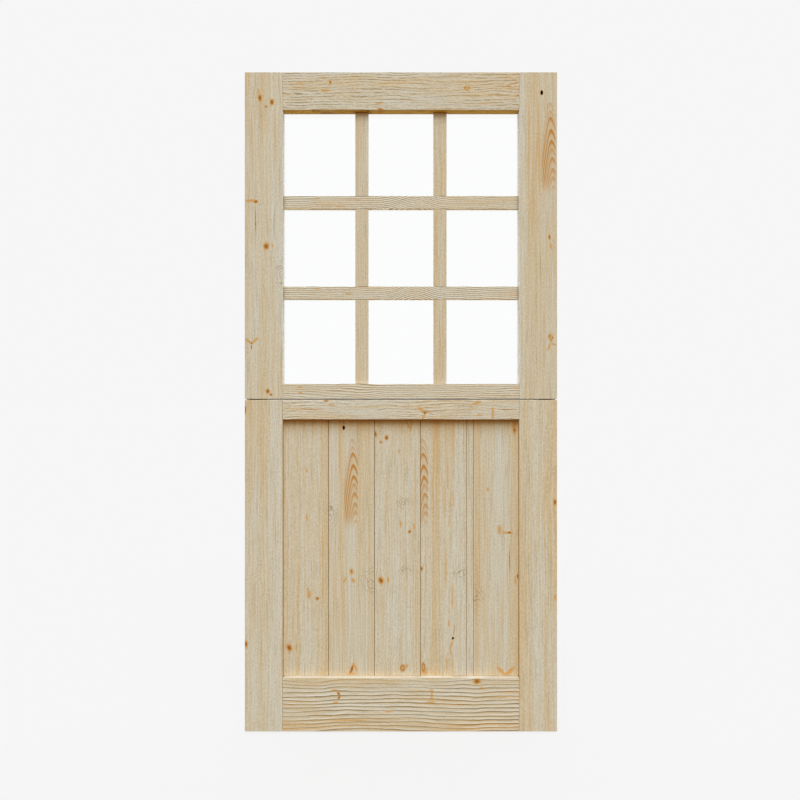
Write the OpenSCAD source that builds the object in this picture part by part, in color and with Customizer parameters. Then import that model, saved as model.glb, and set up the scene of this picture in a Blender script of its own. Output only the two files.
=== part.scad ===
// Dutch stable door: a glazed upper leaf and a boarded lower leaf, each hung on two butt hinges
// in front of a plain frame. Millimetres, +Z up, -Y is the outside face.
// The origin is at floor level, midway between the jambs and midway through the depth.

/* [Leaves] */
// Width of both leaves
door_w = 990; // [880:1:1200]
// Height of the upper leaf
upper_h = 1036; // [900:1:1200]
// Height of the lower leaf
lower_h = 1051; // [900:1:1200]
// Thickness of the stiles and rails
leaf_t = 45; // [44:1:56]
// Width of the stiles
stile_w = 120; // [105:1:140]
// Height of the upper leaf's top rail
top_rail_h = 120; // [100:1:160]
// Height of the upper leaf's meeting rail
upper_meeting_h = 48; // [46:1:80]
// Height of the lower leaf's meeting rail
lower_meeting_h = 62; // [54:1:90]
// Height of the lower leaf's bottom rail
bottom_rail_h = 170; // [140:1:220]
// Gap between the two closed leaves
meeting_gap = 3; // [2.5:0.5:6]
// Clearance between the lower leaf and the floor
floor_gap = 8; // [4:1:20]
// Chamfer on the planed edges
arris = 1; // [0.4:0.1:2]

/* [Joinery] */
// Thickness of the tenons
tenon_t = 15; // [12:1:18]
// Length of the tenons
tenon_l = 60; // [40:1:75]
// Distance from the end of a stile to the tenon of the top or bottom rail
rail_horn = 25; // [15:1:35]
// Distance from the end of a stile to the tenon of a meeting rail
meeting_horn = 11; // [9:1:14]
// Wood left between a tenon and the groove or rebate of its rail
tenon_step = 4; // [2:0.5:6]
// Gap between the two tenons of the bottom rail
twin_gap = 20; // [10:1:30]
// Play on each side of a tenon
tenon_play = 0.2; // [0.1:0.05:0.4]
// Room left at the end of a tenon
tenon_end_play = 1; // [0.5:0.1:2]
// Gap between the shoulder of a rail and its stile
shoulder_play = 0.15; // [0.05:0.05:0.3]

/* [Glazing] */
// Depth from the face of the leaf to the face of the bars and boards
face_recess = 16; // [12:0.5:18]
// Width of the glazing bars
bar_w = 42; // [36:1:50]
// Height of the cross bars above the thirds of the glazed opening
bar_lift = 1.6; // [0:0.1:4]
// Thickness of the part of a bar that stands in front of the glass
nose_t = 12; // [10:0.5:13]
// Width of the rebate that holds the glass
rebate_w = 14; // [10:0.5:15]
// Thickness of the glass
glass_t = 4; // [3:0.5:5]
// Room between the edge of a pane and its rebate
glass_play = 2; // [1:0.5:3]
// Play between the pieces of two crossing bars
lap_play = 0.15; // [0.05:0.05:0.3]
// Length of the stub tenons on the bars
stub_l = 12; // [8:1:14]
// Thickness of the stub tenons
stub_t = 8; // [6:0.5:10]
// Distance by which a bead stays back from the edge of the bar in front of the glass
bead_set = 2.5; // [0.5:0.5:3]
// Distance by which the inner face of a bead slopes back
bead_splay = 6; // [2:0.5:6]
// Gap round a bead
bead_play = 0.15; // [0.05:0.05:0.3]

/* [Boards] */
// Width that one full board covers
board_pitch = 147; // [120:1:150]
// Width of the narrow filler board
filler_w = 22; // [18:1:30]
// Thickness of the boards
board_t = 15; // [12:1:17]
// Depth of the groove that holds the ends and edges of the boards
groove_d = 12; // [8:1:14]
// Room left at the bottom of that groove
groove_end_play = 2; // [1:0.5:3]
// Play on each side of a board in its groove
groove_play = 0.2; // [0.1:0.05:0.4]
// Gap between the faces of two boards
board_gap = 0.8; // [0.4:0.1:1.5]
// Chamfer of the V joint between two boards
board_v = 1.5; // [0.8:0.1:2.5]
// Chamfer of the tighter joints on both sides of the filler board
filler_v = 0.7; // [0.4:0.1:1.5]
// Length of the tongues
tongue_l = 6; // [4:0.5:7]
// Thickness of the tongues
tongue_t = 5; // [3:0.5:5.5]
// Play on each side of a tongue
tongue_play = 0.2; // [0.1:0.05:0.3]
// Room left at the end of a tongue
tongue_end_play = 1; // [0.5:0.1:2]

/* [Seal] */
// Width of the seal between the leaves
seal_w = 5; // [4:0.5:7]
// Depth of the groove that holds the seal
seal_groove_d = 7; // [4:0.5:7]
// Running gap between the seal and the lower leaf
seal_clear = 0.5; // [0.3:0.1:1]
// Play on each side of the seal in its groove
seal_play = 0.1; // [0.05:0.05:0.3]

/* [Frame] */
// Width of the jambs, across the doorway
jamb_w = 45; // [42:1:70]
// Height of the head
head_h = 45; // [40:1:80]
// Depth of the frame
frame_d = 70; // [60:1:120]
// Gap between the frame and the closed leaves
closing_gap = 3; // [2:0.5:4]
// Depth to which the head is housed in the jambs
housing_d = 12; // [6:1:20]
// Play round the head in its housing
housing_play = 0.15; // [0.05:0.05:0.3]
// Diameter of the wall-fixing holes
fixing_d = 8; // [6:0.5:10]
// Diameter of the counterbore for the head of a wall fixing
counterbore_d = 18; // [14:1:22]
// Depth of that counterbore
counterbore_depth = 10; // [5:1:15]
// Distance from each end of the frame to its outer fixings
fixing_outer = 330; // [300:5:380]
// Distance from each end of the frame to its inner fixings
fixing_inner = 700; // [600:5:740]

/* [Hinges] */
// Length of a hinge
hinge_h = 100; // [80:1:110]
// Distance from the end of a leaf to the middle of its hinge
hinge_set = 180; // [150:1:190]
// Width of a hinge plate
plate_w = 32; // [26:1:36]
// Thickness of a hinge plate
plate_t = 2.5; // [2.5:0.1:3]
// Number of knuckles on a hinge
knuckle_n = 5; // [3:2:7]
// Outer diameter of the knuckles
knuckle_d = 10; // [9:0.5:14]
// Diameter of the hinge pin
pin_d = 5; // [4:0.5:6]
// Play on each side of the pin
pin_play = 0.05; // [0.02:0.01:0.08]
// Gap between two knuckles
knuckle_play = 0.3; // [0.2:0.1:0.6]
// Gap between the knuckles and the edge of the leaf
knuckle_clear = 0.5; // [0.3:0.1:2]
// Diameter of the button at each end of a pin
button_d = 8; // [7:0.5:8.5]
// Thickness of that button
button_t = 2; // [1:0.5:4]
// Number of screws in a hinge plate
screw_n = 4; // [3:1:5]
// Diameter of a screw's shank
screw_d = 4; // [3:0.5:4]
// Diameter of a screw's head
screw_head_d = 8; // [6:0.5:8]
// Length of a screw
screw_l = 30; // [20:1:35]
// Length of a screw's point
screw_tip = 5; // [3:0.5:8]
// Distance from the edges of a plate to its screws
screw_edge = 9; // [8:0.5:11]
// Depth of a screw's head below the plate
screw_sink = 0.2; // [0.1:0.05:0.3]
// Play round a hinge plate in its seat
seat_play = 0.15; // [0.05:0.05:0.3]
// Play round a screw
screw_play = 0.1; // [0.05:0.05:0.2]

/* [Hidden] */
$fn = 48;
// Overshoot of a cut past the surface that it opens
past = 1;

PINE = "#cdbc9d";
FRAME_PINE = "#d2c2a4";
GLASS = [0.9, 0.94, 0.95, 0.35];
STEEL = "#a9abad";
RUBBER = "#2b2724";

// Places along the depth, measured from the face of the leaf
tenon_y = (leaf_t - tenon_t) / 2;
glass_y = face_recess + nose_t;
bead_y = glass_y + glass_t;
bead_d = leaf_t - bead_y;
lap_y = (glass_y + leaf_t) / 2;
stub_y = (glass_y + leaf_t - stub_t) / 2;
board_back_y = face_recess + board_t;
board_mid_y = face_recess + board_t / 2;
seal_y = leaf_t / 2;

// Places in the whole door
depth = leaf_t + closing_gap + frame_d;
leaf_y = -depth / 2;
frame_y = leaf_y + leaf_t + closing_gap;
upper_z = floor_gap + lower_h + meeting_gap;
frame_h = upper_z + upper_h;
side_x = door_w / 2;

// Openings of the leaves
opening_w = door_w - 2 * stile_w;
open_x = opening_w / 2;
glazed_z = upper_meeting_h;
glazed_h = upper_h - upper_meeting_h - top_rail_h;
boarded_z = bottom_rail_h;
boarded_h = lower_h - bottom_rail_h - lower_meeting_h;
rail_l = opening_w - 2 * shoulder_play;

// Upright bars lie on the thirds of the glazed opening, cross bars a little above them
bar_x = opening_w / 6;
bar_low_z = glazed_z + glazed_h / 3 + bar_lift;
bar_high_z = glazed_z + 2 * glazed_h / 3 + bar_lift;
web_w = bar_w - 2 * rebate_w;

// Edges of the sight opening of each column and row of panes
column_edges = [
    [-open_x, -bar_x - bar_w / 2],
    [-bar_x + bar_w / 2, bar_x - bar_w / 2],
    [bar_x + bar_w / 2, open_x]
];
row_edges = [
    [bar_high_z + bar_w / 2, glazed_z + glazed_h],
    [bar_low_z + bar_w / 2, bar_high_z - bar_w / 2],
    [glazed_z, bar_low_z - bar_w / 2]
];

// Edges of the boards: three full boards and the filler lie between two trimmed ones
full_boards = 3;
outer_board_w = (opening_w - full_boards * board_pitch - filler_w) / 2;
first_joint = -open_x + outer_board_w;
board_edges = [
    -open_x,
    for (i = [0 : full_boards]) first_joint + i * board_pitch,
    open_x - outer_board_w,
    open_x
];
board_hold = groove_d - groove_end_play;
filler_index = full_boards + 1;

// Tenons as [bottom, top] above the lower edge of their rail
twin_top = bottom_rail_h - groove_d - tenon_step;
twin_h = (twin_top - rail_horn - twin_gap) / 2;
top_tenons = [[rebate_w + tenon_step, top_rail_h - rail_horn]];
upper_meeting_tenons = [[meeting_horn, upper_meeting_h - rebate_w - tenon_step]];
lower_meeting_tenons = [[groove_d + tenon_step, lower_meeting_h - meeting_horn]];
bottom_tenons = [[rail_horn, rail_horn + twin_h], [twin_top - twin_h, twin_top]];

// Hinges, counted from the floor
edge_x = knuckle_d / 2 + knuckle_clear;
axis_x = -side_x - edge_x;
axis_y = leaf_y + leaf_t + closing_gap / 2;
hinge_z = [
    floor_gap + hinge_set,
    floor_gap + lower_h - hinge_set,
    upper_z + hinge_set,
    upper_z + upper_h - hinge_set
];
lower_hinges = [0, 1];
upper_hinges = [2, 3];
knuckle_l = (hinge_h - (knuckle_n - 1) * knuckle_play) / knuckle_n;

function knuckle_z(k) = -hinge_h / 2 + k * (knuckle_l + knuckle_play);

// Screws of a hinge plate as [distance from its outer edge, height], in a zigzag
function plate_screw(i) = [
    i % 2 == 0 ? screw_edge : plate_w - screw_edge,
    (hinge_h - 2 * screw_edge) * (i / (screw_n - 1) - 0.5)
];

HINGES = [1, 2, 3, 4];
PANES = [1, 2, 3, 4, 5, 6, 7, 8, 9];
BOARDS = [1, 2, 3, 4, 5];

// Places

module in_upper_leaf() {
    translate([0, leaf_y, upper_z]) children();
}

module in_lower_leaf() {
    translate([0, leaf_y, floor_gap]) children();
}

module in_frame() {
    translate([0, frame_y, 0]) children();
}

// Puts a piece whose outer edge lies at x = 0 at the hinge side or at the lock side
module at_hinge_side() {
    translate([-side_x, 0, 0]) children();
}

module at_lock_side() {
    mirror([1, 0, 0]) at_hinge_side() children();
}

module at_hinge(i) {
    translate([axis_x, axis_y, hinge_z[i]]) children();
}

// Planed wood

module eased_rect(w, h) {
    polygon([
        [arris, 0], [w - arris, 0], [w, arris], [w, h - arris],
        [w - arris, h], [arris, h], [0, h - arris], [0, arris]
    ]);
}

// A block with all its edges chamfered
module planed(size) {
    intersection() {
        linear_extrude(size.z) eased_rect(size.x, size.y);
        translate([0, size.y, 0]) rotate([90, 0, 0]) linear_extrude(size.y) eased_rect(size.x, size.z);
        rotate([90, 0, 90]) linear_extrude(size.x) eased_rect(size.y, size.z);
    }
}

// A rail with its tenons, standing on z = 0
module tenoned_rail(h, tenons) {
    translate([-rail_l / 2, 0, 0]) planed([rail_l, leaf_t, h]);
    for (span = tenons) {
        translate([-rail_l / 2 - tenon_l, tenon_y, span[0]])
            cube([rail_l + 2 * tenon_l, tenon_t, span[1] - span[0]]);
    }
}

// Mortises in the inner edge of a stile, for a rail whose lower edge is at z
module mortises(tenons, z) {
    mortise_x = stile_w - tenon_l - tenon_end_play;
    for (span = tenons) {
        translate([mortise_x, tenon_y - tenon_play, z + span[0] - tenon_play])
            cube([stile_w, tenon_t + 2 * tenon_play, span[1] - span[0] + 2 * tenon_play]);
    }
}

// Groove along the lower edge of the upper leaf
module seal_groove() {
    translate([-side_x - past, seal_y - seal_w / 2 - seal_play, -past])
        cube([door_w + 2 * past, seal_w + 2 * seal_play, seal_groove_d + past]);
}

// Pocket for the stub tenon of a bar, which runs along x from x = 0
module stub_pocket() {
    reach = stub_l + tenon_end_play;
    width = stub_t + 2 * tenon_play;
    translate([-reach, stub_y - tenon_play, -width / 2]) cube([reach + past, width, width]);
}

// Upper leaf

module upper_stile() {
    rebate_x = stile_w - rebate_w;
    difference() {
        planed([stile_w, leaf_t, upper_h]);
        translate([rebate_x, glass_y, glazed_z - rebate_w])
            cube([stile_w, leaf_t, glazed_h + 2 * rebate_w]);
        for (z = [bar_low_z, bar_high_z]) {
            translate([rebate_x, 0, z]) stub_pocket();
        }
        mortises(top_tenons, upper_h - top_rail_h);
        mortises(upper_meeting_tenons, 0);
        translate([side_x, 0, 0]) seal_groove();
    }
}

module upper_hinge_stile() {
    color(PINE) difference() {
        in_upper_leaf() at_hinge_side() upper_stile();
        for (i = upper_hinges) leaf_hinge_seat(i);
    }
}

module upper_lock_stile() {
    color(PINE) in_upper_leaf() at_lock_side() upper_stile();
}

// Pockets for the upright bars in the edge of a rail, opening upwards at z
module upright_pockets(z) {
    for (x = [-bar_x, bar_x]) {
        translate([x, 0, z]) rotate([0, -90, 0]) stub_pocket();
    }
}

module upper_top_rail() {
    color(PINE) in_upper_leaf() translate([0, 0, upper_h - top_rail_h]) difference() {
        tenoned_rail(top_rail_h, top_tenons);
        translate([-open_x, glass_y, -past]) cube([opening_w, leaf_t, rebate_w + past]);
        translate([0, 0, rebate_w]) mirror([0, 0, 1]) upright_pockets(0);
    }
}

module upper_meeting_rail() {
    rebate_z = upper_meeting_h - rebate_w;
    color(PINE) in_upper_leaf() difference() {
        tenoned_rail(upper_meeting_h, upper_meeting_tenons);
        translate([-open_x, glass_y, rebate_z]) cube([opening_w, leaf_t, upper_meeting_h]);
        upright_pockets(rebate_z);
        seal_groove();
    }
}

// A bar of T section along x, centred on the origin, with a stub tenon at each end
module bar_stick(opening) {
    nose_l = opening - 2 * shoulder_play;
    web_l = nose_l + 2 * rebate_w;
    stick_l = web_l + 2 * stub_l;
    core_y = face_recess + arris;
    translate([-nose_l / 2, face_recess, -bar_w / 2]) planed([nose_l, nose_t, bar_w]);
    translate([-nose_l / 2, core_y, -web_w / 2]) cube([nose_l, leaf_t - core_y, web_w]);
    translate([-web_l / 2, glass_y, -web_w / 2]) cube([web_l, leaf_t - glass_y, web_w]);
    translate([-stick_l / 2, stub_y, -stub_t / 2]) cube([stick_l, stub_t, stub_t]);
}

// A cross bar runs through at the front, and its web is notched behind
module cross_bar(z) {
    notch_w = web_w + 2 * lap_play;
    color(PINE) in_upper_leaf() translate([0, 0, z]) difference() {
        bar_stick(opening_w);
        for (x = [-bar_x, bar_x]) {
            translate([x - notch_w / 2, lap_y, -bar_w / 2]) cube([notch_w, leaf_t, bar_w]);
        }
    }
}

// An upright bar is cut round the cross bars, and its web passes behind them
module upright_bar(x) {
    nose_cut = bar_w + 2 * lap_play;
    web_cut = web_w + 2 * lap_play;
    middle_z = glazed_z + glazed_h / 2;
    color(PINE) in_upper_leaf() translate([x, 0, middle_z]) difference() {
        rotate([0, -90, 0]) bar_stick(glazed_h);
        for (z = [bar_low_z - middle_z, bar_high_z - middle_z]) {
            translate([-bar_w, 0, z - nose_cut / 2]) cube([2 * bar_w, glass_y + lap_play, nose_cut]);
            translate([-bar_w, 0, z - web_cut / 2]) cube([2 * bar_w, lap_y + lap_play, web_cut]);
        }
    }
}

// Panes are counted along the rows, from the top left
function pane_column(i) = column_edges[(i - 1) % 3];
function pane_row(i) = row_edges[floor((i - 1) / 3)];

module glass_pane(i) {
    x = pane_column(i);
    z = pane_row(i);
    cover = rebate_w - glass_play;
    color(GLASS) in_upper_leaf() translate([x[0] - cover, glass_y, z[0] - cover])
        cube([x[1] - x[0] + 2 * cover, glass_t, z[1] - z[0] + 2 * cover]);
}

// A bead along x with mitred ends, standing with its outer edge on z = 0
module bead(l) {
    front_w = rebate_w - bead_play - bead_set;
    back_w = front_w - bead_splay;
    half = l / 2 - bead_play;
    intersection() {
        translate([-half, 0, 0]) rotate([90, 0, 90]) linear_extrude(2 * half)
            polygon([[0, 0], [bead_d, 0], [bead_d, back_w], [0, front_w]]);
        translate([0, bead_d, 0]) rotate([90, 0, 0]) linear_extrude(bead_d)
            polygon([[-half, 0], [half, 0], [half - front_w, front_w], [front_w - half, front_w]]);
    }
}

module glazing_beads(i) {
    x = pane_column(i);
    z = pane_row(i);
    w = x[1] - x[0] + 2 * (rebate_w - bead_play);
    h = z[1] - z[0] + 2 * (rebate_w - bead_play);
    color(PINE) in_upper_leaf() translate([(x[0] + x[1]) / 2, bead_y, (z[0] + z[1]) / 2]) {
        translate([0, 0, -h / 2]) bead(w);
        translate([0, 0, h / 2]) rotate([0, 180, 0]) bead(w);
        translate([-w / 2, 0, 0]) rotate([0, 90, 0]) bead(h);
        translate([w / 2, 0, 0]) rotate([0, -90, 0]) bead(h);
    }
}

// A strip with a round lip that nearly touches the lower leaf
module meeting_seal() {
    lip_r = seal_w / 2;
    lip_z = seal_clear - meeting_gap + lip_r;
    color(RUBBER) in_upper_leaf() translate([-side_x, seal_y, 0]) rotate([90, 0, 90])
        linear_extrude(door_w) {
            translate([-lip_r, lip_z]) square([seal_w, seal_groove_d - seal_play - lip_z]);
            translate([0, lip_z]) circle(lip_r);
        }
}

// Lower leaf

module board_groove(l) {
    cube([l, board_t + 2 * groove_play, groove_d + past]);
}

module lower_stile() {
    groove_h = boarded_h + 2 * groove_d;
    groove_w = board_t + 2 * groove_play;
    difference() {
        planed([stile_w, leaf_t, lower_h]);
        translate([stile_w - groove_d, face_recess - groove_play, boarded_z - groove_d])
            cube([stile_w, groove_w, groove_h]);
        mortises(lower_meeting_tenons, lower_h - lower_meeting_h);
        mortises(bottom_tenons, 0);
    }
}

module lower_hinge_stile() {
    color(PINE) difference() {
        in_lower_leaf() at_hinge_side() lower_stile();
        for (i = lower_hinges) leaf_hinge_seat(i);
    }
}

module lower_lock_stile() {
    color(PINE) in_lower_leaf() at_lock_side() lower_stile();
}

module lower_meeting_rail() {
    color(PINE) in_lower_leaf() translate([0, 0, lower_h - lower_meeting_h]) difference() {
        tenoned_rail(lower_meeting_h, lower_meeting_tenons);
        translate([-open_x, face_recess - groove_play, -past]) board_groove(opening_w);
    }
}

module lower_bottom_rail() {
    color(PINE) in_lower_leaf() difference() {
        tenoned_rail(bottom_rail_h, bottom_tenons);
        translate([-open_x, face_recess - groove_play, bottom_rail_h - groove_d]) board_groove(opening_w);
    }
}

// Chamfer at a joint, counted from the hinge side
function joint_v(joint) = joint >= filler_index - 1 ? filler_v : board_v;

// Edges of a board at a joint, as points that run round its section in one direction
function grooved_edge(x, v) =
    let (
        face = x + board_gap / 2,
        bottom = x + tongue_l + tongue_end_play,
        half = tongue_t / 2 + tongue_play
    )
    [
        [face + v, board_back_y], [face, board_back_y - v],
        [face, board_mid_y + half], [bottom, board_mid_y + half],
        [bottom, board_mid_y - half], [face, board_mid_y - half],
        [face, face_recess + v], [face + v, face_recess]
    ];

function tongued_edge(x, v) =
    let (face = x - board_gap / 2, tip = x + tongue_l, half = tongue_t / 2)
    [
        [face - v, face_recess], [face, face_recess + v],
        [face, board_mid_y - half], [tip, board_mid_y - half],
        [tip, board_mid_y + half], [face, board_mid_y + half],
        [face, board_back_y - v], [face - v, board_back_y]
    ];

// Boards and filler are counted from the hinge side, from 0
module boarding(i) {
    last = len(board_edges) - 2;
    left_x = board_edges[i];
    right_x = board_edges[i + 1];
    left = i == 0
        ? [[left_x - board_hold, board_back_y], [left_x - board_hold, face_recess]]
        : grooved_edge(left_x, joint_v(i - 1));
    right = i == last
        ? [[right_x + board_hold, face_recess], [right_x + board_hold, board_back_y]]
        : tongued_edge(right_x, joint_v(i));
    color(PINE) in_lower_leaf() translate([0, 0, boarded_z - board_hold])
        linear_extrude(boarded_h + 2 * board_hold) polygon(concat(left, right));
}

// Boards 1 to 4 lie before the filler and board 5 after it
function board_place(i) = i <= filler_index ? i - 1 : i;

// Hinges

// The half of a hinge that lies against the frame, round an axis at the origin
module hinge_half(first_knuckle) {
    plate_y = closing_gap / 2;
    bore_d = pin_d + 2 * pin_play;
    color(STEEL) difference() {
        union() {
            translate([edge_x, plate_y, -hinge_h / 2]) cube([plate_w, plate_t, hinge_h]);
            for (k = [first_knuckle : 2 : knuckle_n - 1]) {
                translate([0, 0, knuckle_z(k)]) cylinder(d = knuckle_d, h = knuckle_l);
                translate([0, plate_y, knuckle_z(k)]) cube([edge_x + past, plate_t, knuckle_l]);
            }
        }
        translate([0, 0, -hinge_h / 2 - past]) cylinder(d = bore_d, h = hinge_h + 2 * past);
        for (i = [0 : screw_n - 1]) at_plate_screw(i) screw_hole();
    }
}

// Puts a piece at a screw of the frame's plate, with +Z into the wood and 0 at the plate's face
module at_plate_screw(i) {
    place = plate_screw(i);
    translate([edge_x + place[0], closing_gap / 2, place[1]]) rotate([-90, 0, 0]) children();
}

module screw_hole() {
    hole_d = screw_d + 2 * screw_play;
    mouth_d = screw_head_d + 2 * (screw_sink + screw_play);
    cylinder(d = hole_d, h = plate_t + past);
    cylinder(d1 = mouth_d, d2 = hole_d, h = (mouth_d - hole_d) / 2);
    translate([0, 0, -past]) cylinder(d = mouth_d, h = past);
}

module screw() {
    cone_h = (screw_head_d - screw_d) / 2;
    shank_z = screw_sink + cone_h / 2;
    tip_z = screw_sink + screw_l - screw_tip;
    slot_w = 0.9;
    slot_depth = 1;
    difference() {
        union() {
            translate([0, 0, screw_sink]) cylinder(d1 = screw_head_d, d2 = screw_d, h = cone_h);
            translate([0, 0, shank_z]) cylinder(d = screw_d, h = tip_z - shank_z);
            translate([0, 0, tip_z]) cylinder(d1 = screw_d, d2 = slot_w, h = screw_tip);
        }
        for (turn = [0, 90]) {
            rotate(turn) translate([-screw_d / 2, -slot_w / 2, screw_sink - past])
                cube([screw_d, slot_w, slot_depth + past]);
        }
    }
}

// The pieces that lie against a leaf are the mirror image of those against the frame
module frame_plate(i) {
    at_hinge(i) hinge_half(0);
}

module leaf_plate(i) {
    at_hinge(i) mirror([0, 1, 0]) hinge_half(1);
}

module hinge_pin(i) {
    end_z = hinge_h / 2 + knuckle_play;
    color(STEEL) at_hinge(i) {
        translate([0, 0, -end_z]) cylinder(d = pin_d, h = 2 * end_z);
        translate([0, 0, end_z]) cylinder(d1 = button_d, d2 = pin_d, h = button_t);
        translate([0, 0, -end_z - button_t]) cylinder(d1 = pin_d, d2 = button_d, h = button_t);
    }
}

// Seat of a plate and the pilot holes of its screws, to cut from the frame's side
module hinge_seat() {
    pilot_d = screw_d + 2 * screw_play;
    translate([edge_x - past, closing_gap / 2 - past, -hinge_h / 2 - seat_play])
        cube([plate_w + past + seat_play, plate_t + past, hinge_h + 2 * seat_play]);
    for (i = [0 : screw_n - 1]) at_plate_screw(i) cylinder(d = pilot_d, h = screw_l + past);
}

module frame_hinge_seat(i) {
    at_hinge(i) hinge_seat();
}

module leaf_hinge_seat(i) {
    at_hinge(i) mirror([0, 1, 0]) hinge_seat();
}

module frame_hinge_screws() {
    color(STEEL) for (i = concat(lower_hinges, upper_hinges)) {
        at_hinge(i) for (j = [0 : screw_n - 1]) at_plate_screw(j) screw();
    }
}

module leaf_hinge_screws(hinges) {
    color(STEEL) for (i = hinges) {
        at_hinge(i) mirror([0, 1, 0]) for (j = [0 : screw_n - 1]) at_plate_screw(j) screw();
    }
}

// Frame

module jamb() {
    fixing_z = [fixing_outer, fixing_inner, frame_h - fixing_inner, frame_h - fixing_outer];
    difference() {
        planed([jamb_w, frame_d, frame_h]);
        translate([jamb_w - housing_d - housing_play, -past, frame_h - head_h - housing_play])
            cube([jamb_w, frame_d + 2 * past, head_h + past]);
        for (z = fixing_z) {
            translate([-past, frame_d / 2, z]) rotate([0, 90, 0])
                cylinder(d = fixing_d, h = jamb_w + 2 * past);
            translate([jamb_w - counterbore_depth, frame_d / 2, z]) rotate([0, 90, 0])
                cylinder(d = counterbore_d, h = counterbore_depth + past);
        }
    }
}

module hinge_jamb() {
    color(FRAME_PINE) difference() {
        in_frame() at_hinge_side() jamb();
        for (i = concat(lower_hinges, upper_hinges)) frame_hinge_seat(i);
    }
}

module lock_jamb() {
    color(FRAME_PINE) in_frame() at_lock_side() jamb();
}

module head() {
    head_l = door_w - 2 * (jamb_w - housing_d);
    color(FRAME_PINE) in_frame() translate([-head_l / 2, 0, frame_h - head_h])
        planed([head_l, frame_d, head_h]);
}

// Drawing

upper_hinge_stile();
upper_lock_stile();
upper_top_rail();
upper_meeting_rail();
cross_bar(bar_high_z);  // glazing_bar_top
cross_bar(bar_low_z);  // glazing_bar_bottom
upright_bar(-bar_x);  // glazing_bar_left
upright_bar(bar_x);  // glazing_bar_right
for (i = PANES) {
    glass_pane(i);
    glazing_beads(i);
}
leaf_hinge_screws(upper_hinges);  // upper_hinge_screws
meeting_seal();
lower_hinge_stile();
lower_lock_stile();
lower_meeting_rail();
lower_bottom_rail();
for (i = BOARDS) {
    boarding(board_place(i));
}
boarding(filler_index);  // filler_strip
leaf_hinge_screws(lower_hinges);  // lower_hinge_screws
hinge_jamb();
lock_jamb();
head();
frame_hinge_screws();
for (i = HINGES) {
    leaf_plate(i - 1);
    frame_plate(i - 1);
    hinge_pin(i - 1);
}
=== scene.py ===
"""Dutch stable door in bare pine: materials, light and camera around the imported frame, in metres."""

import math
from dataclasses import dataclass

import bpy
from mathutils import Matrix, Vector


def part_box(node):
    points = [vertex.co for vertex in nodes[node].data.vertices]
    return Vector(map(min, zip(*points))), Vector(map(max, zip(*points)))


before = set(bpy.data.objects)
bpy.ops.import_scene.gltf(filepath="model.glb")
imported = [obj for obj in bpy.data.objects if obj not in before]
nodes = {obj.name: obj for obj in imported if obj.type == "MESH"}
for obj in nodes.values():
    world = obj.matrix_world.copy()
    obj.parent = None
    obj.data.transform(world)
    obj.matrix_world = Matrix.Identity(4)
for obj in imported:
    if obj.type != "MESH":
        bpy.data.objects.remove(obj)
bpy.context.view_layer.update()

MM = 0.001
X_AXIS, Z_AXIS = 0, 2
PANES = 9
HINGES = 4


def colour(red, green, blue):
    """A linear colour from display values of 0 to 255."""

    def linear(value):
        share = value / 255
        return share / 12.92 if share <= 0.04045 else ((share + 0.055) / 1.055) ** 2.4

    return linear(red), linear(green), linear(blue), 1.0


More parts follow.
